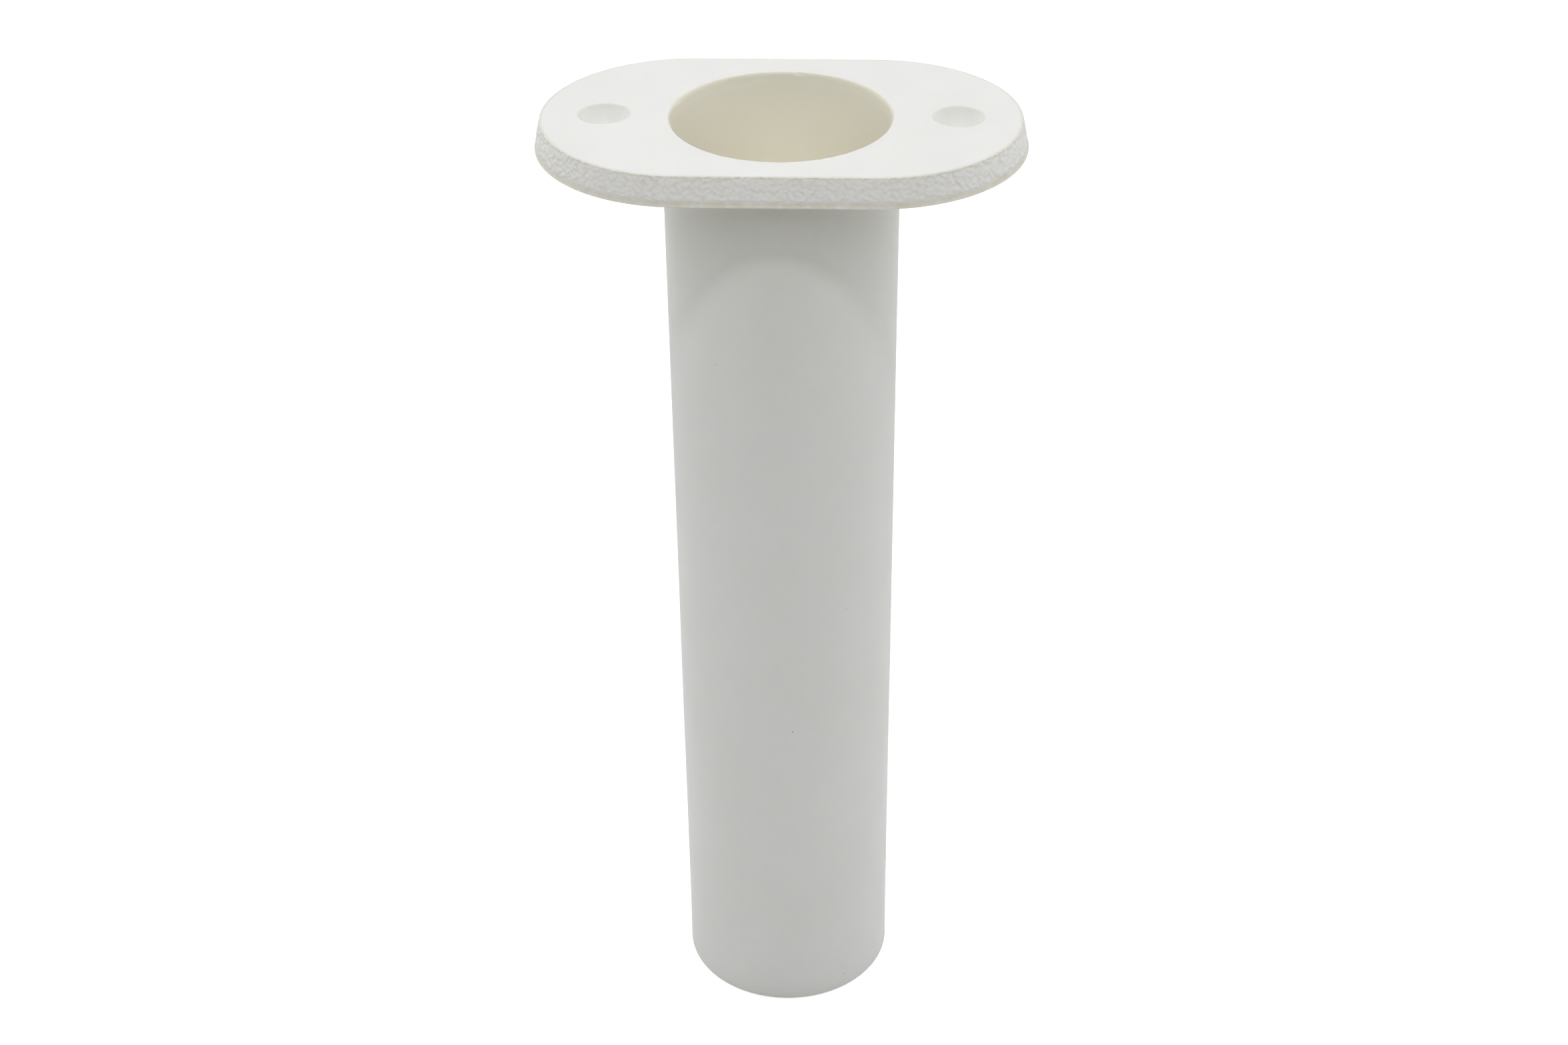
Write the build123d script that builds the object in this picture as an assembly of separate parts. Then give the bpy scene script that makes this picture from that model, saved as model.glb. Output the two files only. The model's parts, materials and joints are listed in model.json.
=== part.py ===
from build123d import *
import os

# Straight flush-mount rod holder, in millimetres.
# The origin is on the bore axis at the flange's underside, the plane that rests on the deck.
# +Z points up out of the bore mouth, and X runs along the flange.

# Deck flange
FLANGE_LENGTH = 104.8
FLANGE_WIDTH = 65.0
FLANGE_THICKNESS = 6.3
RIM_LAND = 0.65          # upright band at the foot of the rim
RIM_SET_BACK = 1.25      # how far the sloping rim leans in by the top face
RIM_EDGE_RADIUS = 0.3

# Rod bore and its mouth
BORE_RADIUS = 23.2
MOUTH_RADIUS = 0.8

# Tube
OVERALL_LENGTH = 231.0
TUBE_RADIUS = 25.4
SOCKET_DEPTH = 4.0       # the tube's top end sits this far up inside the flange
BOND_GAP = 0.1           # film of adhesive around each bonded end

# Screw holes, one at each end of the flange
SCREW_SPACING = 75.0
SCREW_HOLE_RADIUS = 2.4
SCREW_RECESS_RADIUS = 5.4
SCREW_RECESS_DEPTH = 4.6

# Plug that closes the foot of the tube, dished on its underside
PLUG_HEIGHT = 6.0
PLUG_SEAT_WIDTH = 1.0    # how far the plug reaches into the tube's wall
PLUG_DISH_RADIUS = 20.0
PLUG_DISH_DEPTH = 2.0
PLUG_DISH_CORNER = 1.2
DRAIN_RADIUS = 5.0

# Places that follow from the sizes above
TUBE_FOOT_Z = FLANGE_THICKNESS - OVERALL_LENGTH
TUBE_HEAD_Z = SOCKET_DEPTH
PLUG_SEAT_Z = TUBE_FOOT_Z + PLUG_HEIGHT
TUBE_SEAT_RADIUS = BORE_RADIUS + PLUG_SEAT_WIDTH


def standing_cylinder(radius, low_z, high_z):
    """Upright cylinder on the bore axis between two heights."""
    return Pos(0, 0, low_z) * Cylinder(radius, high_z - low_z, align=(Align.CENTER, Align.CENTER, Align.MIN))


def obround(length, width, z):
    """Slot-shaped outline with round ends, lying flat at height z."""
    return Pos(0, 0, z) * SlotOverall(length, width)


def flange_blank():
    """Solid flange: an upright land, then a rim that leans in to the top face."""
    land = extrude(obround(FLANGE_LENGTH, FLANGE_WIDTH, 0), RIM_LAND)
    foot = obround(FLANGE_LENGTH, FLANGE_WIDTH, RIM_LAND)
    top_length = FLANGE_LENGTH - 2 * RIM_SET_BACK
    top_width = FLANGE_WIDTH - 2 * RIM_SET_BACK
    rim = loft([foot.face(), obround(top_length, top_width, FLANGE_THICKNESS).face()], ruled=True)
    blank = land + rim
    top_edges = blank.faces().sort_by(Axis.Z)[-1].edges()
    return fillet(top_edges, RIM_EDGE_RADIUS)


def screw_cutter(x):
    """Through hole with a conical recess for a screw head."""
    hole = Pos(x, 0, 0) * standing_cylinder(SCREW_HOLE_RADIUS, -1, FLANGE_THICKNESS + 1)
    recess = Cone(
        SCREW_HOLE_RADIUS,
        SCREW_RECESS_RADIUS,
        SCREW_RECESS_DEPTH,
        align=(Align.CENTER, Align.CENTER, Align.MAX),
    )
    return hole + Pos(x, 0, FLANGE_THICKNESS) * recess


def deck_flange():
    """Flange with a rounded bore mouth, a socket for the tube and two screw holes."""
    body = flange_blank()
    body -= standing_cylinder(BORE_RADIUS, -1, FLANGE_THICKNESS + 1)
    mouth = body.faces().sort_by(Axis.Z)[-1].inner_wires()[0].edges()
    body = fillet(mouth, MOUTH_RADIUS)
    body -= standing_cylinder(TUBE_RADIUS + BOND_GAP, -1, TUBE_HEAD_Z)
    for side in (-1, 1):
        body -= screw_cutter(side * SCREW_SPACING / 2)
    return body


def rod_tube():
    """Straight tube, stepped inside its foot so that the plug has a shoulder to sit against."""
    body = standing_cylinder(TUBE_RADIUS, TUBE_FOOT_Z, TUBE_HEAD_Z)
    body -= standing_cylinder(BORE_RADIUS, TUBE_FOOT_Z - 1, TUBE_HEAD_Z + 1)
    body -= standing_cylinder(TUBE_SEAT_RADIUS, TUBE_FOOT_Z - 1, PLUG_SEAT_Z)
    return body


def end_plug():
    """Plug that closes the tube's foot and carries the rod butt, with a drain hole."""
    body = standing_cylinder(TUBE_SEAT_RADIUS - BOND_GAP, TUBE_FOOT_Z, PLUG_SEAT_Z)
    dish = standing_cylinder(PLUG_DISH_RADIUS, TUBE_FOOT_Z - 1, TUBE_FOOT_Z + PLUG_DISH_DEPTH)
    dish = fillet(dish.faces().sort_by(Axis.Z)[-1].edges(), PLUG_DISH_CORNER)
    drain = standing_cylinder(DRAIN_RADIUS, TUBE_FOOT_Z - 1, PLUG_SEAT_Z + 1)
    return body - dish - drain


def write_parts():
    """Write one STEP file for each separate piece."""
    os.makedirs("parts", exist_ok=True)
    for make in (deck_flange, rod_tube, end_plug):
        export_step(make(), f"parts/{make.__name__}.step")


write_parts()
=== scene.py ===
import json
import math

import bmesh
import bpy
import numpy as np
from mathutils import Matrix, Vector


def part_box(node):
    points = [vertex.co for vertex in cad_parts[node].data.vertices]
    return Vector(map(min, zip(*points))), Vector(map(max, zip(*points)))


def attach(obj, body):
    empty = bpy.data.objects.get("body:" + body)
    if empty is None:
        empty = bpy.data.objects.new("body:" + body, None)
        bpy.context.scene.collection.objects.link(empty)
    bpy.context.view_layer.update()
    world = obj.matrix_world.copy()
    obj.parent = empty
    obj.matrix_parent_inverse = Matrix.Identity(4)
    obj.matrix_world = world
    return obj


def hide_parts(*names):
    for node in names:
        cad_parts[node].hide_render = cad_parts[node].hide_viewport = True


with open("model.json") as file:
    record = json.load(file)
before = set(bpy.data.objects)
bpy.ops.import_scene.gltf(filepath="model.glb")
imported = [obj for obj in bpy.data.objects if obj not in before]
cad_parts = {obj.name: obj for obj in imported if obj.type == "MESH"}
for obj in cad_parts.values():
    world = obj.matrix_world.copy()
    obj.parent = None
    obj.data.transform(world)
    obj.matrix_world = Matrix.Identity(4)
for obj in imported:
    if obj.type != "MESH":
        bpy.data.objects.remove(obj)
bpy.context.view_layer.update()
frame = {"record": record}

MM = 0.001

# ---------------------------------------------------------------- sizes, in millimetres
# The frame gives the outer sizes and the mounts, and the rest repeat the design's own values.


def node_box(node):
    """Lowest and highest corners of a CAD node, in millimetres."""
    low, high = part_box(node)
    return low / MM, high / MM


def mount(name):
    """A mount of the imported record, by name."""
    return next(m for m in frame["record"]["mounts"] if m["name"] == name)


_, FLANGE_HIGH = node_box("deck_flange")
TUBE_LOW, TUBE_HIGH = node_box("rod_tube")
_, PLUG_HIGH = node_box("end_plug")
END_RADIUS = FLANGE_HIGH.y
HALF_STRAIGHT = FLANGE_HIGH.x - END_RADIUS
FLANGE_TOP = FLANGE_HIGH.z
TUBE_RADIUS = TUBE_HIGH.x
BOND_GAP = 0.1            # between the tube and its socket, and the plug and its seat
SOCKET_RADIUS = TUBE_RADIUS + BOND_GAP
SOCKET_TOP = TUBE_HIGH.z
FOOT_Z = TUBE_LOW.z
PLUG_TOP = PLUG_HIGH.z
PLUG_RADIUS = PLUG_HIGH.x
BORE_RADIUS = mount("rod_bore")["dims"]["r_mm"]
HOLE_RADIUS = mount("screw_holes")["dims"]["hole_r_mm"]
HOLE_X = mount("screw_holes")["dims"]["spacing_x_mm"] / 2
RIM_SET_BACK = 1.25       # how far the rim slopes in between its foot and its top
RIM_LAND = 0.65           # upright height at the rim's foot
MOUTH_ROUNDING = 0.8      # width of the bore mouth's turned edge
RECESS_RADIUS = 5.4
RECESS_DEPTH = 4.6
DRAIN_RADIUS = 5.0
DISH_RADIUS = 20.0
DISH_DEPTH = 2.0

# ---------------------------------------------------------------- mesh helpers


class MeshMaker:
    """Collects loops of points, in millimetres, and joins them into one closed mesh."""

    def __init__(self):
        self.mesh = bmesh.new()
        # Per-vertex share of painted shade, with a slight tint on the flange's rim, that the materials mix
        # in.
        self.tint_and_shade = self.mesh.verts.layers.float.new("tint_and_shade")

    def loop(self, points, tint_and_shade=0.0):
        """Adds a closed loop of points and returns its vertices.

        The last argument is how much painted shade and tint the surface has, one number or one for each
        point."""
        ring = [self.mesh.verts.new(p * MM) for p in points]
        for vertex, value in zip(ring, np.broadcast_to(tint_and_shade, len(ring))):
            vertex[self.tint_and_shade] = value
        return ring

    def bridge(self, first, second, material=0):
        """Joins two loops of the same length with a band of quads."""
        count = len(first)
        for i in range(count):
            j = (i + 1) % count
            face = self.mesh.faces.new((first[i], first[j], second[j], second[i]))
            face.material_index = material

    def skin(self, loops, material=0, tints_and_shades=None):
        """Joins each loop of points to the next, and returns the first and last rings of vertices."""
        if tints_and_shades is None:
            tints_and_shades = [0.0] * len(loops)
        rings = [self.loop(points, tint_and_shade) for points, tint_and_shade in zip(loops, tints_and_shades)]
        for first, second in zip(rings, rings[1:]):
            self.bridge(first, second, material)
        return rings[0], rings[-1]

    def fill(self, loops, material=0):
        """Fills the flat area between an outer loop and the loops inside it."""
        edges = []
        for ring in loops:
            for i, vertex in enumerate(ring):
                edges.append(self.mesh.edges.get((vertex, ring[(i + 1) % len(ring)])))
        made = bmesh.ops.triangle_fill(self.mesh, use_beauty=True, edges=edges)
        for item in made["geom"]:
            if isinstance(item, bmesh.types.BMFace):
                item.material_index = material

    def finish(self, name, materials, sharp_degrees=40):
        """Makes the object, with faces turned outwards and hard edges left crisp."""
        bmesh.ops.recalc_face_normals(self.mesh, faces=self.mesh.faces)
        data = bpy.data.meshes.new(name)
        self.mesh.to_mesh(data)
        self.mesh.free()
        for material in materials:
            data.materials.append(material)
        data.shade_smooth()
        data.set_sharp_from_angle(angle=math.radians(sharp_degrees))
        piece = bpy.data.objects.new(name, data)
        bpy.context.scene.collection.objects.link(piece)
        weighted = piece.modifiers.new("even_flats", "WEIGHTED_NORMAL")
        weighted.keep_sharp = True
        return piece


def circle(radius, z, count, x=0.0):
    """Points of a level circle. radius is one number or one for each point."""
    angle = np.arange(count) * 2 * math.pi / count
    return np.stack([x + radius * np.cos(angle), radius * np.sin(angle), np.full(count, z)], axis=1)


def rounded_foot(radius, z, rounding, steps=6):
    """(radius, height) pairs down the rounded lower edge of a tube whose end is at z."""
    pairs = []
    for i in range(steps, -1, -1):
        turn = math.pi / 2 * i / steps
        pairs.append((radius - rounding * (1 - math.sin(turn)), z + rounding * (1 - math.cos(turn))))
    return pairs


def smooth_step(low, high, value):
    """0 below low, 1 above high, and a smooth rise between them."""
    t = np.clip((value - low) / (high - low), 0, 1)
    return t * t * (3 - 2 * t)


# ---------------------------------------------------------------- pebbled grain of the rim

GRAIN_DEPTH = 0.28        # from a pebble's top down to the valleys between pebbles
GRAIN_FOOT = 1.2          # height at which the grain starts, above the underside
GRAIN_WARP = 0.06         # sideways wander that makes the pebbles irregular
PEBBLE_SKIRT = 0.17       # how far a pebble's slope runs out past its own radius
PEBBLE_OVERLAP = 0.08     # how far two pebbles' radii may run into each other
PEBBLE_CLEARANCE = 0.8    # share of a pebble's radius that stays above the grain's foot
PEBBLE_SLANTS = (12, 62)  # degrees from the run of the rim, to either side
PEBBLE_SIZES = (0.85, 1.12)
PEBBLE_CROWNS = (0.8, 1.0)
PEBBLE_NEAR = 3.2         # pebbles further apart than this along the strip can't touch
PEBBLE_KINDS = (          # tries, shortest and longest half length, radius: long ones are laid first
    (1800, 0.35, 0.85, 0.45),
    (4200, 0.10, 0.50, 0.40),
    (5500, 0.00, 0.15, 0.28),
)
SPINE = np.linspace(-1, 1, 5)             # points along a pebble's middle line, from end to end
RIPPLE_COUNT = 14
RIPPLE_RUNS = (1.1, 3.2)  # wavelengths of the ripples along the strip
RIPPLE_RISES = (1.1, 3.0)


def spine_points(x, y, slant, half):
    """Points along a pebble's middle line."""
    return np.stack([x + half * math.cos(slant) * SPINE, y + half * math.sin(slant) * SPINE], axis=1)


def wrapped(distance, length):
    """Shortest signed distance along a closed strip."""
    return (distance + length / 2) % length - length / 2


def lay_pebbles(length, top, rng):
    """Slanted pebbles thrown on a closed strip, each kept where it clears the ones before it."""
    pebbles = []
    spines = np.empty((0, len(SPINE), 2))
    radii = np.empty(0)
    for tries, short, long, radius in PEBBLE_KINDS:
        for _ in range(tries):
            x, y = rng.uniform(0, length), rng.uniform(GRAIN_FOOT, top)
            slant = math.radians(rng.uniform(*PEBBLE_SLANTS)) * rng.choice((-1, 1))
            half = rng.uniform(short, long)
            size = radius * rng.uniform(*PEBBLE_SIZES)
            spine = spine_points(x, y, slant, half)
            if spine[:, 1].min() < GRAIN_FOOT + size * PEBBLE_CLEARANCE:
                continue
            near = np.abs(wrapped(spines[:, 2, 0] - x, length)) < PEBBLE_NEAR
            gap = spines[near][:, :, None, :] - spine[None, None, :, :]
            clear = np.hypot(wrapped(gap[..., 0], length), gap[..., 1]).min(axis=(1, 2))
            if np.any(clear < radii[near] + size - PEBBLE_OVERLAP):
                continue
            pebbles.append((x, y, slant, half, size, rng.uniform(*PEBBLE_CROWNS)))
            spines = np.concatenate([spines, spine[None]])
            radii = np.append(radii, size)
    return pebbles


def ripples(along, up, length, rng):
    """Smooth random field over the strip, about -1 to 1, that closes on itself round the strip."""
    field = np.zeros((len(up), len(along)))
    for _ in range(RIPPLE_COUNT):
        turns = round(length / rng.uniform(*RIPPLE_RUNS))
        rise = rng.uniform(-1, 1) * 2 * math.pi / rng.uniform(*RIPPLE_RISES)
        start = rng.uniform(0, 2 * math.pi)
        field += np.sin(turns * 2 * math.pi * along[None, :] / length + rise * up[:, None] + start)
    return field / math.sqrt(RIPPLE_COUNT / 2)


def softened(field):
    """The field averaged a little with its neighbours, round the strip and up it."""
    field = (np.roll(field, 1, axis=1) + 2 * field + np.roll(field, -1, axis=1)) / 4
    padded = np.pad(field, ((1, 1), (0, 0)), mode="edge")
    return (padded[:-2] + 2 * padded[1:-1] + padded[2:]) / 4


def grain_height(along, up, length, rng):
    """Height of the grain over a grid of the strip, 0 in a valley and 1 on a pebble's top."""
    total = np.zeros((len(up), len(along)))
    warp_along = GRAIN_WARP * ripples(along, up, length, rng)
    warp_up = GRAIN_WARP * ripples(along, up, length, rng)
    for x, y, slant, half, size, crown in lay_pebbles(length, up[-1], rng):
        away = wrapped(along - x, length)
        columns = np.flatnonzero(np.abs(away) < half + size + PEBBLE_SKIRT + 3 * GRAIN_WARP)
        dx = away[None, columns] + warp_along[:, columns]
        dy = up[:, None] - y + warp_up[:, columns]
        lengthwise = dx * math.cos(slant) + dy * math.sin(slant)
        sideways = dy * math.cos(slant) - dx * math.sin(slant)
        distance = np.hypot(lengthwise - np.clip(lengthwise, -half, half), sideways)
        dome = crown * np.clip(1 - (distance / (size + PEBBLE_SKIRT)) ** 2, 0, None)
        total[:, columns] += dome ** 3
    return softened(np.clip(total, 0, 1.1) ** (1 / 3))


# ---------------------------------------------------------------- deck flange

RIM_POINTS = 1600
RIM_STEP = 0.165          # spacing of the rim's loops up the grain
LIP_ROUNDING = 0.15
GROOVE_DEPTH = 0.22       # smooth band between the lip and the grain
TOP_ROUNDING = 0.45
CREST_INSET = 0.5         # flat ring round the top edge, before the filled top
BORE_POINTS = 288
HOLE_POINTS = 96
ARC_LENGTH = math.pi * END_RADIUS
RIM_LENGTH = 2 * ARC_LENGTH + 4 * HALF_STRAIGHT

# Heights between which one thing gives way to another up the rim.
LIP_TO_GROOVE = (0.3, 0.6)
GROOVE_TO_GRAIN = (GRAIN_FOOT - 0.05, GRAIN_FOOT + 0.3)
GRAIN_START = (GRAIN_FOOT - 0.1, GRAIN_FOOT + 0.25)
GRAIN_END = (FLANGE_TOP - 0.3, FLANGE_TOP - 0.01)
# The painted shade at the rim's foot fades out between these heights.
FOOT_SHADE_END = (GRAIN_FOOT - 0.2, GRAIN_FOOT + 0.3)

# How far the rim's colour is darkened, from 0 to 1: a slight tint everywhere, and painted shade in the
# valleys, along the top edge and at the foot.
# A slight darker, warmer tint over the whole rim, not on the top face.
RIM_TINT = 0.16
VALLEY_SHADE = 0.2
# Painted shade along the rounded top edge, as a darker, warmer band.
TOP_EDGE_SHADE = 0.6
TOP_EDGE_SHADE_DROP = 0.12
TOP_EDGE_SHADE_WIDTH = 0.3
# Painted shade in the groove band at the rim's foot.
FOOT_SHADE = 0.8


def obround_frame(count):
    """Distance along the outline, centre-line points and outward normals of the flange's outline."""
    along = np.arange(count) * RIM_LENGTH / count
    straight = 2 * HALF_STRAIGHT
    centre = np.zeros((count, 2))
    normal = np.zeros((count, 2))
    for i, s in enumerate(along):
        half, rest = divmod(s, ARC_LENGTH + straight)
        side = 1 if half == 0 else -1
        turn = min(rest / END_RADIUS, math.pi) - math.pi / 2
        run = max(rest - ARC_LENGTH, 0)
        centre[i] = (side * (HALF_STRAIGHT - run), 0)
        normal[i] = (side * math.cos(turn), side * math.sin(turn))
    return along, centre, normal


def rim_profile():
    """(inset, height) pairs up the rim: rounded lip, groove, sloping side and rounded top edge."""
    slope = RIM_SET_BACK / (FLANGE_TOP - RIM_LAND)
    pairs = []
    for turn in np.linspace(0, math.pi / 2, 4):
        pairs.append((LIP_ROUNDING * (1 - math.sin(turn)), LIP_ROUNDING * (1 - math.cos(turn))))
    shoulder = FLANGE_TOP - TOP_ROUNDING
    for z in np.arange(LIP_ROUNDING + RIM_STEP, shoulder, RIM_STEP):
        band = smooth_step(*LIP_TO_GROOVE, z) * (1 - smooth_step(*GROOVE_TO_GRAIN, z))
        pairs.append((max(z - RIM_LAND, 0) * slope + GROOVE_DEPTH * band, z))
    start = (shoulder - RIM_LAND) * slope
    for turn in np.linspace(0, math.pi / 2, 6):
        inset = start + TOP_ROUNDING * (1 - math.cos(turn))
        pairs.append((inset, shoulder + TOP_ROUNDING * math.sin(turn)))
    return pairs


def rim_loops(rng):
    """Loops up the grained rim, and how much painted shade and tint each point has."""
    along, centre, normal = obround_frame(RIM_POINTS)
    profile = rim_profile()
    inset = np.array([p[0] for p in profile])[:, None]
    height = np.array([p[1] for p in profile])[:, None]
    lumps = grain_height(along, height[:, 0], RIM_LENGTH, rng)
    share = smooth_step(*GRAIN_START, height) * (1 - smooth_step(*GRAIN_END, height))
    reach = END_RADIUS - inset - GRAIN_DEPTH * share * (1 - lumps)
    # Painted shade in the valleys between pebbles, along the rounded top edge and in the groove band at
    # the foot, over a slight darker tint of the whole rim.
    valley_shade = VALLEY_SHADE * share * (1 - lumps)
    edge = TOP_EDGE_SHADE * np.exp(-((height - FLANGE_TOP + TOP_EDGE_SHADE_DROP) / TOP_EDGE_SHADE_WIDTH) ** 2)
    foot = FOOT_SHADE * (1 - smooth_step(*FOOT_SHADE_END, height))
    tint_and_shade = np.clip(RIM_TINT + valley_shade + edge + foot, 0, 1)
    loops = []
    for row, z in enumerate(height[:, 0]):
        level = centre + normal * reach[row][:, None]
        loops.append(np.column_stack([level, np.full(len(along), z)]))
    inner = centre + normal * (reach[-1] - CREST_INSET)[:, None]
    loops.append(np.column_stack([inner, np.full(len(along), FLANGE_TOP)]))
    return loops, list(tint_and_shade) + [np.zeros(len(along))]


MOUTH_NICKS = (           # degrees round the mouth, width in degrees, depth in millimetres
    (242, 1.1, 0.22),
    (251, 0.9, 0.12),
    (273, 1.0, 0.15),
    (292, 0.9, 0.24),
    (298, 1.2, 0.12),
    (306, 1.0, 0.1),
    (83, 1.5, 0.2),
    (160, 1.3, 0.15),
)
NICK_HEIGHT = 0.6         # how far below the flange's top the nicks reach
MOUTH_RAGGEDNESS = 0.035


def mouth_nicks(count):
    """How far each point of the bore mouth's edge is worn back, from a few small nicks."""
    degrees = np.arange(count) * 360 / count
    wear = np.zeros(count)
    for place, width, depth in MOUTH_NICKS:
        wear += depth * np.exp(-((degrees - place) / width) ** 2)
    ragged = np.sin(np.radians(degrees) * 23) * np.sin(np.radians(degrees) * 9 + 1.0)
    return wear + MOUTH_RAGGEDNESS * np.clip(ragged, 0, 1)


def mouth_profile():
    """(radius, height) pairs down the bore's mouth, which turns over and runs into the bore.

    It is a quarter of an ellipse, with its pairs closer together near the top."""
    drop = FLANGE_TOP - SOCKET_TOP
    pairs = []
    for share in np.linspace(0, 1, 19) ** 1.3:
        turn = math.pi / 2 * share
        radius = BORE_RADIUS + MOUTH_ROUNDING * (1 - math.sin(turn))
        pairs.append((radius, FLANGE_TOP - drop * (1 - math.cos(turn))))
    return pairs


def make_flange(plastic, inner, rng):
    """The whole flange: grained rim, flat faces, bore mouth, tube socket and screw holes."""
    maker = MeshMaker()
    loops, tints_and_shades = rim_loops(rng)
    foot, crest = maker.skin(loops, 0, tints_and_shades)
    wear = mouth_nicks(BORE_POINTS)
    worn_above = FLANGE_TOP - NICK_HEIGHT
    mouth = [circle(r + wear * (z > worn_above), z, BORE_POINTS) for r, z in mouth_profile()]
    lip, seat = maker.skin(mouth, 1)
    chamfer = 0.2
    socket = [(SOCKET_RADIUS, SOCKET_TOP), (SOCKET_RADIUS, chamfer), (SOCKET_RADIUS + chamfer, 0)]
    first, mouth_foot = maker.skin([circle(r, z, BORE_POINTS) for r, z in socket])
    maker.bridge(seat, first)
    tops, foots = [lip], [mouth_foot]
    for side in (-1, 1):
        top, bottom = screw_hole(maker, side)
        tops.append(top)
        foots.append(bottom)
    maker.fill([crest] + tops)
    maker.fill([foot] + foots)
    return maker.finish("deck_flange_shell", [plastic, inner])


RECESS_EDGE = (           # radius past the recess's own, depth, painted shade: the soft edge of a screw recess
    (0.5, 0.0, 0.0),
    (0.2, 0.01, 0.25),
    (0.05, 0.06, 0.5),
    (-0.08, 0.18, 0.5),
    (-0.28, 0.42, 0.3),
)
CONE_DEPTHS = (1.0, 2.0, 3.0, 4.0)
# Painted shade down the cone and in the clearance hole.
CONE_SHADE = 0.1
HOLE_SHADE = 0.4


def screw_hole(maker, side):
    """Conical screw recess with a soft edge, and the clearance hole below it, with painted shade at the
    edge, down the cone and in the hole.

    The left one, where side is -1, is a little out of round."""
    angle = np.arange(HOLE_POINTS) * 2 * math.pi / HOLE_POINTS
    wobble = np.zeros(HOLE_POINTS)
    if side < 0:
        wobble = 0.09 * np.sin(2 * angle + 0.6) + 0.05 * np.sin(3 * angle + 2.0)
    slope = (RECESS_RADIUS - HOLE_RADIUS) / RECESS_DEPTH
    rows = [(RECESS_RADIUS + past, depth, darkening) for past, depth, darkening in RECESS_EDGE]
    rows += [(RECESS_RADIUS - slope * depth, depth, CONE_SHADE) for depth in CONE_DEPTHS]
    rows += [(HOLE_RADIUS, depth, HOLE_SHADE) for depth in (RECESS_DEPTH, FLANGE_TOP)]
    loops = []
    for r, depth, _ in rows:
        share = (r - HOLE_RADIUS) / (RECESS_RADIUS - HOLE_RADIUS)
        loops.append(circle(r + wobble * share, FLANGE_TOP - depth, HOLE_POINTS, side * HOLE_X))
    return maker.skin(loops, 0, [darkening for _, _, darkening in rows])


# ---------------------------------------------------------------- rod tube

TUBE_POINTS = 192
WALL_LOOPS = 150
WALL_END_GAP = 1.5        # from the wall's last loops to the flange above and the rounded foot below
BORE_LOOPS = 75
TUBE_FOOT_ROUNDING = 0.35
WAVE_PHASE = 0.7
WAVE_ROOM = 0.05          # the wavy wall is set in by this, to stay within the tube's full radius
WAVE_FADE = 12            # the waves fade out this near either end
HEAD_SHADE = 0.8          # painted shade under the flange, fading down the tube
HEAD_SHADE_REACH = 20
FOOT_END_SHADE = 0.3           # painted shade at the foot's rounded edge, fading up the tube
FOOT_END_SHADE_REACH = 1.5


def tube_waviness(z, count):
    """Slight unevenness of the tube's wall, a few hundredths of a millimetre."""
    angle = np.arange(count) * 2 * math.pi / count
    slow = 0.035 * np.sin(2 * angle + 0.011 * z + WAVE_PHASE)
    quick = 0.012 * np.sin(5 * angle - 0.06 * z + 2 * WAVE_PHASE)
    return (slow + quick) * smooth_step(0, WAVE_FADE, -z) * smooth_step(0, WAVE_FADE, z - FOOT_Z)


def make_tube(plastic, inner):
    """Straight tube with soft edges at its foot and the step that the plug seats on."""
    maker = MeshMaker()
    foot = rounded_foot(TUBE_RADIUS, FOOT_Z, TUBE_FOOT_ROUNDING)
    foot_top = foot[0][1]
    wall = np.linspace(-WALL_END_GAP, foot_top + WALL_END_GAP, WALL_LOOPS)
    outside = [(TUBE_RADIUS, SOCKET_TOP), (TUBE_RADIUS, 0.0)]
    outside += [(TUBE_RADIUS, z) for z in wall]
    outside += foot
    loops = []
    tints_and_shades = []
    for r, z in outside:
        if foot_top < z < 0:
            r = r - WAVE_ROOM + tube_waviness(z, TUBE_POINTS)
        loops.append(circle(r, z, TUBE_POINTS))
        # Painted shade under the flange, fading down, and at the foot's rounded edge.
        head_shade = HEAD_SHADE * math.exp(min(z, 0) / HEAD_SHADE_REACH)
        tints_and_shades.append(head_shade + FOOT_END_SHADE * math.exp((FOOT_Z - z) / FOOT_END_SHADE_REACH))
    head, ring = maker.skin(loops, 0, tints_and_shades)
    seat_radius = PLUG_RADIUS + BOND_GAP
    chamfer = 0.15
    step = [
        (seat_radius + chamfer, FOOT_Z),
        (seat_radius, FOOT_Z + chamfer),
        (seat_radius, PLUG_TOP),
        (BORE_RADIUS, PLUG_TOP),
    ]
    low, shoulder = maker.skin([circle(r, z, TUBE_POINTS) for r, z in step])
    maker.bridge(ring, low)
    heights = np.linspace(PLUG_TOP, SOCKET_TOP, BORE_LOOPS + 1)[1:]
    bore = [circle(BORE_RADIUS, z, TUBE_POINTS) for z in heights]
    rise, rim = maker.skin(bore, 1)
    maker.bridge(shoulder, rise, 1)
    maker.bridge(rim, head)
    return maker.finish("rod_tube_shell", [plastic, inner])


# ---------------------------------------------------------------- end plug

PLUG_POINTS = 144
PLUG_EDGE = 0.5           # size of the plug's soft edges, which pass through a middle point
PLUG_EDGE_MIDDLE = 0.15
PLUG_TOP_CHAMFER = 0.2
PLUG_FOOT_EDGE = 0.4
PLUG_FOOT_MIDDLE = 0.12
DISH_FILLET = 1.2
DISH_STEPS = 6


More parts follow.
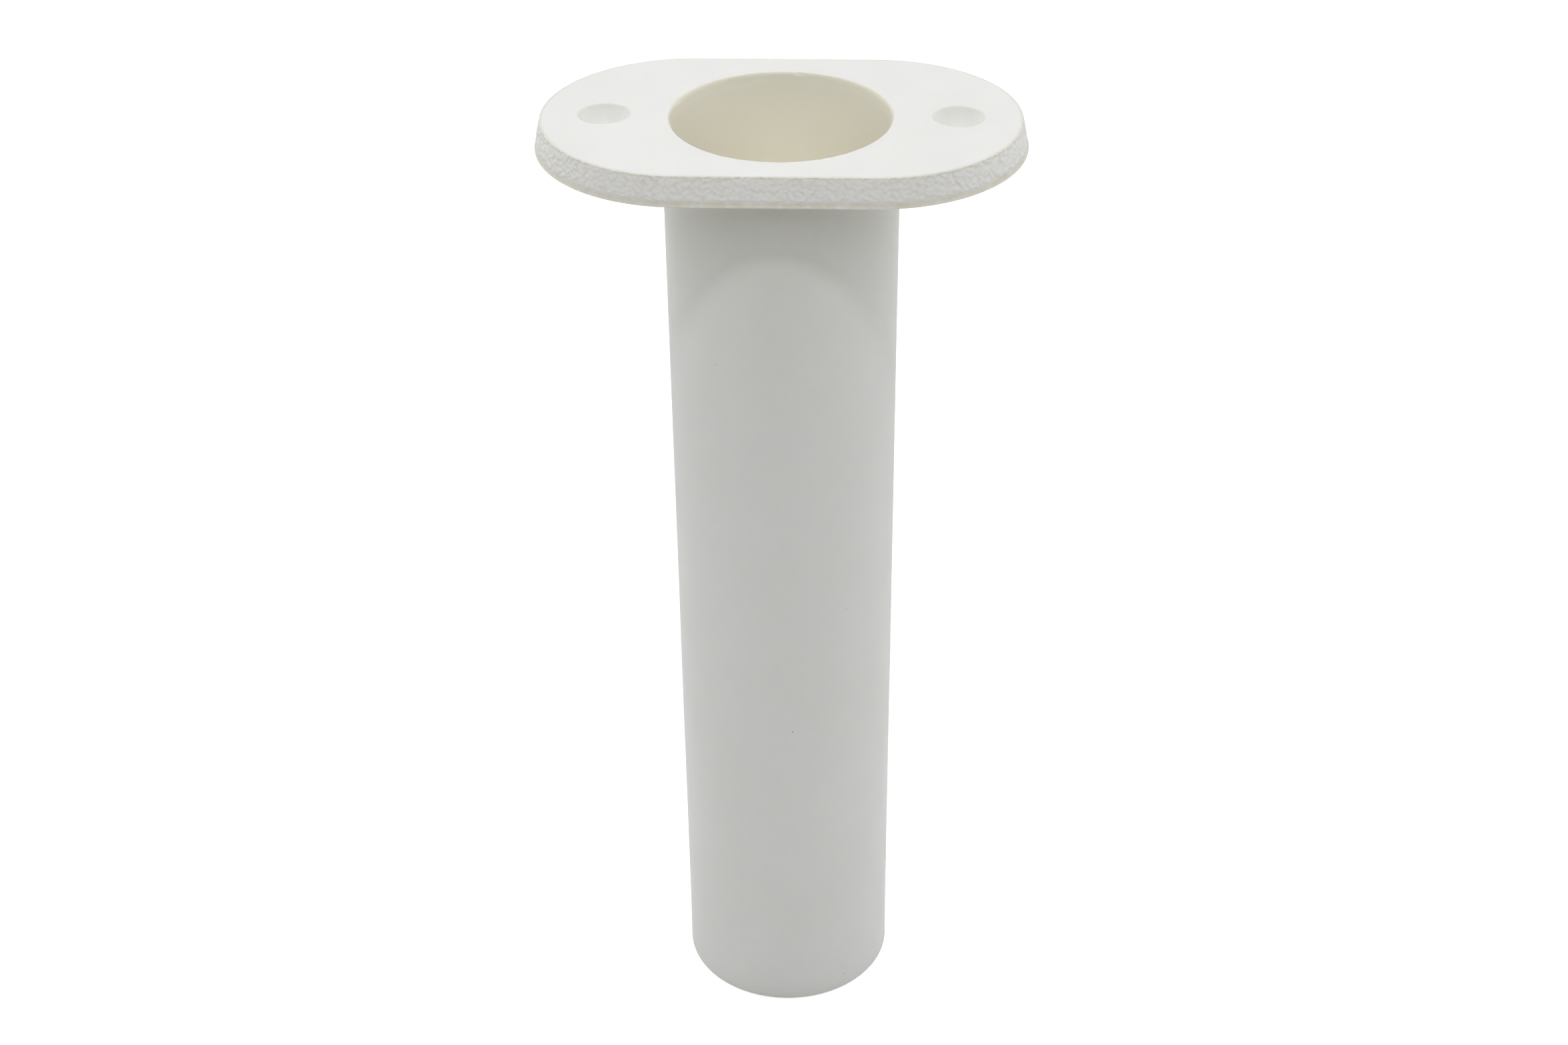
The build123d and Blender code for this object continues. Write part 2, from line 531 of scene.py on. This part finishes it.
def make_plug(plastic):
    """Plug with a dished underside, soft edges and a drain hole."""
    maker = MeshMaker()
    dish_top = FOOT_Z + DISH_DEPTH
    top = [
        (DRAIN_RADIUS, dish_top + PLUG_EDGE),
        (DRAIN_RADIUS, PLUG_TOP - PLUG_EDGE),
        (DRAIN_RADIUS + PLUG_EDGE_MIDDLE, PLUG_TOP - PLUG_EDGE_MIDDLE),
        (DRAIN_RADIUS + PLUG_EDGE, PLUG_TOP),
        (PLUG_RADIUS - PLUG_TOP_CHAMFER, PLUG_TOP),
        (PLUG_RADIUS, PLUG_TOP - PLUG_TOP_CHAMFER),
    ]
    foot = [
        (PLUG_RADIUS, FOOT_Z + PLUG_FOOT_EDGE),
        (PLUG_RADIUS - PLUG_FOOT_MIDDLE, FOOT_Z + PLUG_FOOT_MIDDLE),
        (PLUG_RADIUS - PLUG_FOOT_EDGE, FOOT_Z),
        (DISH_RADIUS + PLUG_EDGE, FOOT_Z),
        (DISH_RADIUS + PLUG_EDGE_MIDDLE, FOOT_Z + PLUG_EDGE_MIDDLE),
        (DISH_RADIUS, FOOT_Z + PLUG_EDGE),
    ]
    dish = []
    for i in range(DISH_STEPS + 1):
        turn = math.pi / 2 * i / DISH_STEPS
        radius = DISH_RADIUS - DISH_FILLET * (1 - math.cos(turn))
        dish.append((radius, dish_top - DISH_FILLET * (1 - math.sin(turn))))
    dish.append((DRAIN_RADIUS + PLUG_EDGE, dish_top))
    dish.append((DRAIN_RADIUS + PLUG_EDGE_MIDDLE, dish_top + PLUG_EDGE_MIDDLE))
    first, last = maker.skin([circle(r, z, PLUG_POINTS) for r, z in top + foot + dish])
    maker.bridge(last, first)
    return maker.finish("end_plug_shell", [plastic])


# ---------------------------------------------------------------- materials

# Painted shade and tint on the flange mix towards this colour.
FLANGE_TINT_AND_SHADE = (0.64, 0.62, 0.53)
SPECK = (0.42, 0.40, 0.35)
SCUFF = (0.60, 0.60, 0.58)
WHITE = (0.80, 0.80, 0.785)
WHITE_SOILED = (0.785, 0.785, 0.765)
TUBE_WHITE = (0.70, 0.705, 0.685)
TUBE_SOILED = (0.685, 0.69, 0.665)
# Painted shade on the tube mixes towards this colour.
TUBE_SHADE_COLOUR = (0.56, 0.55, 0.485)
BORE_TOP = (0.98, 0.955, 0.85)
BORE_DEEP = (0.98, 0.93, 0.725)
BORE_DEEP_Z = -60.0       # height at which the bore has reached its deep colour
BORE_STREAK = (0.98, 0.968, 0.895)
# Painted shade on the bore mouth's rounding.
MOUTH_SHADE = (0.80, 0.77, 0.66)
PLASTIC_IOR = 1.49


class NodeSheet:
    """Small helper around a material's node tree."""

    def __init__(self, name):
        self.material = bpy.data.materials.new(name)
        self.material.use_nodes = True
        self.nodes = self.material.node_tree.nodes
        self.links = self.material.node_tree.links
        self.shader = next(n for n in self.nodes if n.type == "BSDF_PRINCIPLED")

    def add(self, kind, **values):
        """Adds a node and sets its properties."""
        node = self.nodes.new(kind)
        for key, value in values.items():
            setattr(node, key, value)
        return node

    def join(self, source, target):
        """Links one socket to another."""
        self.links.new(source, target)

    def math(self, operation, first, second):
        """A Math node on two values, each a socket or a number. Returns its result."""
        node = self.add("ShaderNodeMath", operation=operation)
        for socket, value in zip(node.inputs, (first, second)):
            if isinstance(value, (int, float)):
                socket.default_value = value
            else:
                self.join(value, socket)
        return node.outputs[0]

    def millimetres(self, stretch=(1, 1, 1)):
        """The surface's place in the object's own frame, in millimetres, optionally stretched."""
        place = self.add("ShaderNodeTexCoord")
        scale = self.add("ShaderNodeMapping")
        scale.inputs["Scale"].default_value = tuple(s / MM for s in stretch)
        self.join(place.outputs["Object"], scale.inputs["Vector"])
        return scale.outputs[0]

    def noise(self, where, scale, detail=3.0, roughness=0.55):
        """A noise pattern's value. scale is in cycles per millimetre."""
        node = self.add("ShaderNodeTexNoise")
        node.inputs["Scale"].default_value = scale
        node.inputs["Detail"].default_value = detail
        node.inputs["Roughness"].default_value = roughness
        self.join(where, node.inputs["Vector"])
        return node.outputs["Fac"]

    def range(self, value, low, high, to_low=0.0, to_high=1.0):
        """Maps a value from one range to another, held at the ends."""
        node = self.add("ShaderNodeMapRange", interpolation_type="SMOOTHSTEP")
        ends = {"From Min": low, "From Max": high, "To Min": to_low, "To Max": to_high}
        for name, number in ends.items():
            node.inputs[name].default_value = number
        self.join(value, node.inputs["Value"])
        return node.outputs["Result"]

    def mix(self, share, first, second):
        """Mixes two colours, each a socket or an RGB triple."""
        node = self.add("ShaderNodeMix", data_type="RGBA")
        self.join(share, node.inputs["Factor"])
        for socket, value in ((node.inputs["A"], first), (node.inputs["B"], second)):
            if isinstance(value, tuple):
                socket.default_value = (*value, 1)
            else:
                self.join(value, socket)
        return node.outputs["Result"]

    def bump(self, height, distance, below=None):
        """Bump from a height of 0 to 1, its full depth in millimetres."""
        node = self.add("ShaderNodeBump")
        node.inputs["Strength"].default_value = 1.0
        node.inputs["Distance"].default_value = distance * MM
        self.join(height, node.inputs["Height"])
        if below is not None:
            self.join(below, node.inputs["Normal"])
        return node.outputs["Normal"]


def specks(sheet, where, spacing, radius, share):
    """Scattered round specks: 1 inside a speck, 0 elsewhere.

    The pattern's cells are spacing wide, share is how many of them hold a speck, and radius is the
    largest speck's."""
    cells = sheet.add("ShaderNodeTexVoronoi", feature="F1")
    cells.inputs["Scale"].default_value = 1 / spacing
    sheet.join(where, cells.inputs["Vector"])
    pick = sheet.add("ShaderNodeSeparateColor")
    sheet.join(cells.outputs["Color"], pick.inputs["Color"])
    chosen = sheet.math("LESS_THAN", pick.outputs["Red"], share)
    size = sheet.math("MULTIPLY", pick.outputs["Green"], radius / spacing)
    inside = sheet.math("LESS_THAN", cells.outputs["Distance"], size)
    return sheet.math("MULTIPLY", chosen, inside)


def white_plastic(name, colour, soiled, tint_and_shade_colour, evenness, roughness, spread, fine_depth, dirt_share):
    """White plastic with soft tone changes, painted shade and tint from the mesh, a fine matte texture,
    stray specks and scuffs.

    evenness is the least share of the painted shade and tint that shows where it is patchy, spread is how
    far the roughness varies, fine_depth is in millimetres, and dirt_share is the share of cells with a
    speck."""
    sheet = NodeSheet(name)
    where = sheet.millimetres()
    tone = sheet.range(sheet.noise(where, scale=0.045, detail=4.0), 0.3, 0.7)
    tinted = sheet.mix(tone, colour, soiled)
    # The mesh's painted shade, with a slight tint on the flange's rim, darkens the colour, patchily.
    darkening = sheet.add("ShaderNodeAttribute", attribute_name="tint_and_shade")
    patchy = sheet.range(sheet.noise(where, scale=0.5, detail=4.0), 0.25, 0.7, evenness, 1.0)
    darkened = sheet.mix(sheet.math("MULTIPLY", darkening.outputs["Fac"], patchy), tinted, tint_and_shade_colour)
    dirt = specks(sheet, where, spacing=2.5, radius=0.24, share=dirt_share)
    drawn_out = sheet.millimetres((0.3, 0.3, 1))
    scuff = specks(sheet, drawn_out, spacing=2.1, radius=0.2, share=0.035)
    scuffed = sheet.mix(scuff, darkened, SCUFF)
    sheet.join(sheet.mix(dirt, scuffed, SPECK), sheet.shader.inputs["Base Color"])
    smear = sheet.noise(sheet.millimetres((1, 1, 0.35)), scale=0.12, detail=5.0)
    sheen = sheet.range(smear, 0.25, 0.75, roughness - spread, roughness + spread)
    sheet.join(sheen, sheet.shader.inputs["Roughness"])
    fine = sheet.noise(where, scale=3.2, detail=4.0, roughness=0.6)
    broad = sheet.noise(where, scale=0.35, detail=2.0)
    below = sheet.bump(broad, distance=0.03)
    sheet.join(sheet.bump(fine, fine_depth, below), sheet.shader.inputs["Normal"])
    return sheet


def translucent(sheet, share, reach):
    """Lets light travel inside the plastic. reach is in millimetres, longest for warm light."""
    shader = sheet.shader.inputs
    shader["IOR"].default_value = PLASTIC_IOR
    shader["Subsurface Weight"].default_value = share
    shader["Subsurface Radius"].default_value = (1.0, 0.85, 0.6)
    shader["Subsurface Scale"].default_value = reach * MM


def flange_plastic():
    """Matte moulded plastic of the flange."""
    sheet = white_plastic(
        "flange_plastic", WHITE, WHITE_SOILED, FLANGE_TINT_AND_SHADE,
        evenness=0.5, roughness=0.62, spread=0.06, fine_depth=0.02, dirt_share=0.012,
    )
    translucent(sheet, share=0.3, reach=1.2)
    return sheet.material


def tube_plastic():
    """Satin plastic of the tube's outside and of the plug."""
    sheet = white_plastic(
        "tube_plastic", TUBE_WHITE, TUBE_SOILED, TUBE_SHADE_COLOUR,
        evenness=0.88, roughness=0.46, spread=0.07, fine_depth=0.012, dirt_share=0.02,
    )
    translucent(sheet, share=0.3, reach=1.2)
    return sheet.material


def bore_plastic():
    """Inside of the bore: the same plastic, creamier further down, with faint upright streaks.

    The base colour is very pale because it stands in for light that comes through the thin wall, and the
    mouth's rounding is painted darker as shade."""
    sheet = NodeSheet("bore_plastic")
    where = sheet.millimetres()
    split = sheet.add("ShaderNodeSeparateXYZ")
    sheet.join(where, split.inputs[0])
    height = split.outputs["Z"]
    depth = sheet.range(height, SOCKET_TOP, BORE_DEEP_Z)
    base = sheet.mix(depth, BORE_TOP, BORE_DEEP)
    streak = sheet.noise(sheet.millimetres((1, 1, 0.03)), scale=0.9)
    streaked = sheet.mix(sheet.range(streak, 0.5, 0.8), base, BORE_STREAK)
    # Painted shade down the mouth's rounding, gone just below the top.
    edge = sheet.range(height, SOCKET_TOP, FLANGE_TOP - 0.4)
    mouth_shaded = sheet.mix(edge, streaked, MOUTH_SHADE)
    crest = sheet.range(height, FLANGE_TOP - 0.06, FLANGE_TOP - 0.01)
    sheet.join(sheet.mix(crest, mouth_shaded, WHITE), sheet.shader.inputs["Base Color"])
    sheet.join(sheet.range(streak, 0.3, 0.7, 0.4, 0.55), sheet.shader.inputs["Roughness"])
    fine = sheet.noise(where, scale=2.5)
    sheet.join(sheet.bump(fine, distance=0.012), sheet.shader.inputs["Normal"])
    sheet.shader.inputs["IOR"].default_value = PLASTIC_IOR
    return sheet.material


# ---------------------------------------------------------------- camera, floor and light

CAMERA_PLACE = (20.2, -464.5, 206.2)      # millimetres
CAMERA_YAW = -2.51                        # degrees, turned from +Y towards +X
CAMERA_PITCH = 33.05                      # degrees below level
CAMERA_ROLL = -0.54
CAMERA_LENS = 54.28


def make_camera():
    """Camera at the photograph's viewing angle, looking down on the flange."""
    yaw, pitch, roll = (math.radians(a) for a in (CAMERA_YAW, CAMERA_PITCH, CAMERA_ROLL))
    ahead = Vector((math.sin(yaw) * math.cos(pitch), math.cos(yaw) * math.cos(pitch), -math.sin(pitch)))
    right = Vector((math.cos(yaw), -math.sin(yaw), 0))
    up = right.cross(ahead)
    tilted_right = math.cos(roll) * right + math.sin(roll) * up
    tilted_up = math.cos(roll) * up - math.sin(roll) * right
    data = bpy.data.cameras.new("camera")
    data.sensor_width = 36
    data.lens = CAMERA_LENS
    data.clip_start = 0.01
    camera = bpy.data.objects.new("camera", data)
    turn = Matrix((tilted_right, tilted_up, -ahead)).transposed().to_4x4()
    camera.matrix_world = Matrix.Translation(Vector(CAMERA_PLACE) * MM) @ turn
    bpy.context.scene.collection.objects.link(camera)
    bpy.context.scene.camera = camera


FLOOR_GLOW = 0.3          # what the camera sees added to the floor, near the object and far away
FAR_FLOOR_GLOW = 0.95
FLOOR_GLOW_RISE = (700.0, 2600.0)         # millimetres from the object
HORIZON_GLOW = 0.98       # what the camera sees of the backdrop
OVERHEAD_GLOW = 0.75
PAPER = (0.95, 0.95, 0.95, 1)


def make_floor():
    """Large pale floor under the tube's foot, which glows to the eye so that it stays white far out."""
    half = 20.0  # metres
    data = bpy.data.meshes.new("floor")
    corners = [(-half, -half), (half, -half), (half, half), (-half, half)]
    data.from_pydata([(x, y, FOOT_Z * MM) for x, y in corners], [], [(0, 1, 2, 3)])
    floor = bpy.data.objects.new("floor", data)
    sheet = NodeSheet("floor_paper")
    sheet.shader.inputs["Base Color"].default_value = PAPER
    sheet.shader.inputs["Roughness"].default_value = 0.9
    sheet.shader.inputs["Emission Color"].default_value = (1, 1, 1, 1)
    distance = sheet.add("ShaderNodeVectorMath", operation="LENGTH")
    sheet.join(sheet.millimetres(), distance.inputs[0])
    glow = sheet.range(distance.outputs["Value"], *FLOOR_GLOW_RISE, FLOOR_GLOW, FAR_FLOOR_GLOW)
    seen = sheet.add("ShaderNodeLightPath").outputs["Is Camera Ray"]
    sheet.join(sheet.math("MULTIPLY", glow, seen), sheet.shader.inputs["Emission Strength"])
    data.materials.append(sheet.material)
    bpy.context.scene.collection.objects.link(floor)


def area_light(name, place, target, size, power):
    """Soft white area light at a place, in metres, aimed at a target. power is in watts."""
    data = bpy.data.lights.new(name, "AREA")
    data.shape = "RECTANGLE"
    data.size, data.size_y = size
    data.energy = power
    lamp = bpy.data.objects.new(name, data)
    lamp.location = place
    aim = Vector(target) - Vector(place)
    lamp.rotation_euler = aim.to_track_quat("-Z", "Y").to_euler()
    bpy.context.scene.collection.objects.link(lamp)


def make_world():
    """Pale backdrop, brightest at the horizon. It is only seen: the lights do the lighting."""
    world = bpy.data.worlds.new("studio")
    bpy.context.scene.world = world
    world.use_nodes = True
    nodes, links = world.node_tree.nodes, world.node_tree.links
    direction = nodes.new("ShaderNodeTexCoord")
    split = nodes.new("ShaderNodeSeparateXYZ")
    links.new(direction.outputs["Generated"], split.inputs[0])
    fade = nodes.new("ShaderNodeMapRange")
    fade.interpolation_type = "SMOOTHSTEP"
    ends = {"From Min": 0.0, "From Max": 0.5, "To Min": HORIZON_GLOW, "To Max": OVERHEAD_GLOW}
    for name, number in ends.items():
        fade.inputs[name].default_value = number
    links.new(split.outputs["Z"], fade.inputs["Value"])
    seen = nodes.new("ShaderNodeMath")
    seen.operation = "MULTIPLY"
    links.new(fade.outputs["Result"], seen.inputs[0])
    links.new(nodes.new("ShaderNodeLightPath").outputs["Is Camera Ray"], seen.inputs[1])
    background = nodes["Background"]
    background.inputs["Color"].default_value = (1, 1, 1, 1)
    links.new(seen.outputs[0], background.inputs["Strength"])


def make_lights():
    """Small high key, softboxes overhead and in front, and softer ones round the sides and back."""
    area_light("key", (0.0, -0.9, 1.85), (0, 0, 0), (0.2, 0.2), 13.0)
    area_light("overhead", (0.0, 0.5, 1.6), (0, 0.1, 0), (1.6, 1.6), 14.3)
    area_light("front", (0.0, -1.2, 1.2), (0, 0, 0), (1.2, 0.8), 8.2)
    area_light("left", (-1.4, 0.3, 0.4), (0, 0, -0.1), (1.0, 1.4), 6.3)
    area_light("right", (1.4, 0.3, 0.4), (0, 0, -0.1), (1.0, 1.4), 7.3)
    area_light("back_left", (-1.0, 1.1, 0.4), (0, 0, -0.1), (0.9, 0.9), 5.0)
    area_light("back_right", (1.0, 1.1, 0.4), (0, 0, -0.1), (0.9, 0.9), 3.4)


# ---------------------------------------------------------------- assembly

SEED = 7


def stand_for(piece, node):
    """A visual piece takes the place of its CAD node."""
    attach(piece, "root")
    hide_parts(node)


def build():
    """Makes the pieces, the camera, the floor and the lights."""
    rng = np.random.default_rng(SEED)
    shell = flange_plastic()
    tube = tube_plastic()
    inner = bore_plastic()
    stand_for(make_flange(shell, inner, rng), "deck_flange")
    stand_for(make_tube(tube, inner), "rod_tube")
    stand_for(make_plug(tube), "end_plug")
    make_camera()
    make_floor()
    make_world()
    make_lights()
    bpy.context.scene.view_settings.view_transform = "Standard"


build()
